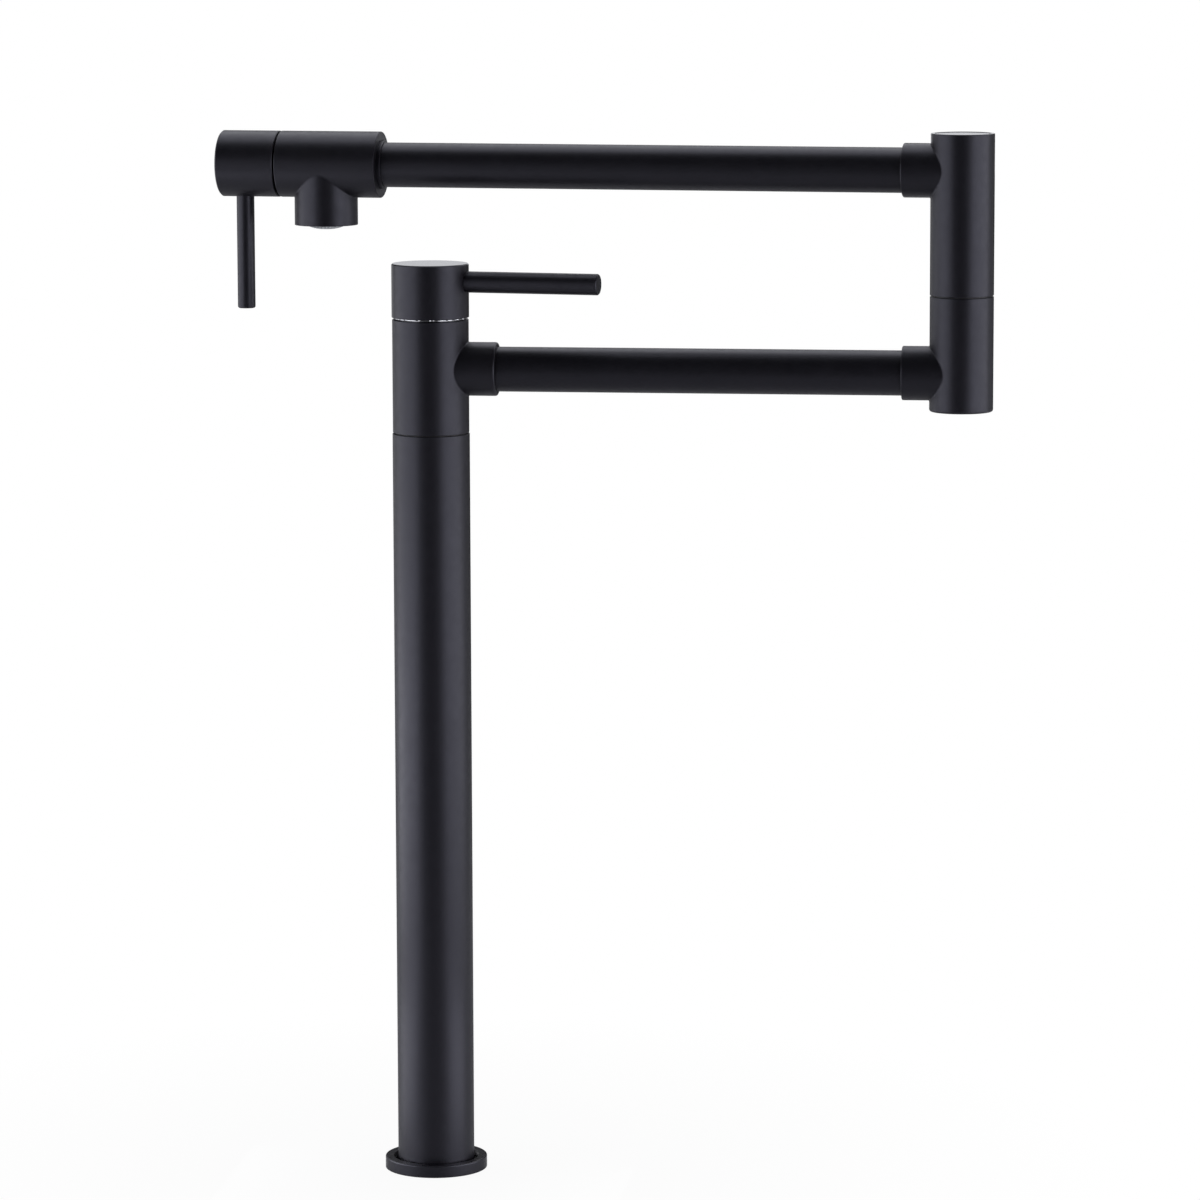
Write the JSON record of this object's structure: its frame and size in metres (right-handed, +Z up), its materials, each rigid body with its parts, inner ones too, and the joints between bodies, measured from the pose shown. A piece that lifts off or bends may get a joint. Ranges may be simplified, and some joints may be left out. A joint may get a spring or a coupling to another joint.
{
  "type": "pot filler",
  "caption": "Deck-mounted pot filler with a tall round column, a folding double-jointed arm, a valve lever on the column and a second valve lever at the spout, in matte black.",
  "frame": {"origin": "middle of the flange's underside, on the deck, on the column's axis", "axes": "+Z up along the column; +X from the column to the elbow, along the lower arm at rest; -Y is the front, to which the base handle's lever turns"},
  "size_m": [0.3861, 0.0739, 0.5838],
  "materials": {
    "black_coat": "satin black powder coat",
    "brass": "machined",
    "plated": "bright plated",
    "steel": "plain",
    "rubber": "matt",
    "disc_ceramic": "lapped ceramic",
    "dark_plastic": "moulded",
    "grey_plastic": "moulded, slightly milky"
  },
  "bodies": {
    "riser": {"base_flange": "black_coat", "flange_gasket": "rubber", "riser_tube": "black_coat", "riser_foot": "brass", "mounting_shank": "brass", "clamp_rubber": "rubber", "clamp_washer": "steel", "lock_nut": "brass", "supply_tube": "brass", "supply_o_rings": "rubber", "valve_core": "brass", "core_o_rings": "rubber", "riser_glide_washer": "dark_plastic", "plated_ring": "plated", "core_nut": "brass", "base_seat_seal": "rubber", "base_disc_fixed": "disc_ceramic", "base_cartridge": "brass", "base_cartridge_seal": "rubber"},
    "base_lever": {"base_hub": "black_coat", "base_lever_rod": "black_coat", "base_spindle": "brass", "base_disc_moving": "disc_ceramic", "base_spindle_seal": "rubber", "base_grub_screw": "steel"},
    "lower_arm": {"swivel_body": "black_coat", "lower_arm_tube": "black_coat", "lower_tube_seals": "rubber", "elbow_lower": "black_coat", "elbow_stem": "brass", "elbow_clip": "steel", "elbow_glide_washer": "dark_plastic", "elbow_o_rings": "rubber"},
    "upper_arm": {"elbow_upper": "black_coat", "elbow_top_cap": "black_coat", "upper_arm_tube": "black_coat", "upper_tube_seals": "rubber", "gland_ring": "black_coat", "spout_body": "black_coat", "aerator_ring": "dark_plastic", "aerator_insert": "grey_plastic", "aerator_mesh": "steel", "aerator_washer": "rubber", "spout_seat_seal": "rubber", "spout_disc_fixed": "disc_ceramic", "spout_cartridge": "brass", "spout_cartridge_seal": "rubber"},
    "spout_lever": {"spout_hub": "black_coat", "spout_lever_rod": "black_coat", "spout_spindle": "brass", "spout_disc_moving": "disc_ceramic", "spout_spindle_seal": "rubber", "spout_grub_screw": "steel"}
  },
  "joints": [
    {"name": "base_swivel", "type": "hinge", "parent": "riser", "child": "lower_arm", "pos_m": [0, 0, 0.4015], "axis": [0, 0, 1], "continuous": true},
    {"name": "elbow_swivel", "type": "hinge", "parent": "lower_arm", "child": "upper_arm", "pos_m": [0.2604, 0, 0.4997], "axis": [0, 0, 1], "continuous": true},
    {"name": "base_lever_turn", "type": "hinge", "parent": "riser", "child": "base_lever", "pos_m": [0, 0, 0.4444], "axis": [0, 0, -1], "range_deg": [0, 90]},
    {"name": "spout_lever_turn", "type": "hinge", "parent": "upper_arm", "child": "spout_lever", "pos_m": [-0.09753, 0.03132, 0.4997], "axis": [-0.9962, 0.0872, 0], "range_deg": [0, 90]}
  ]
}
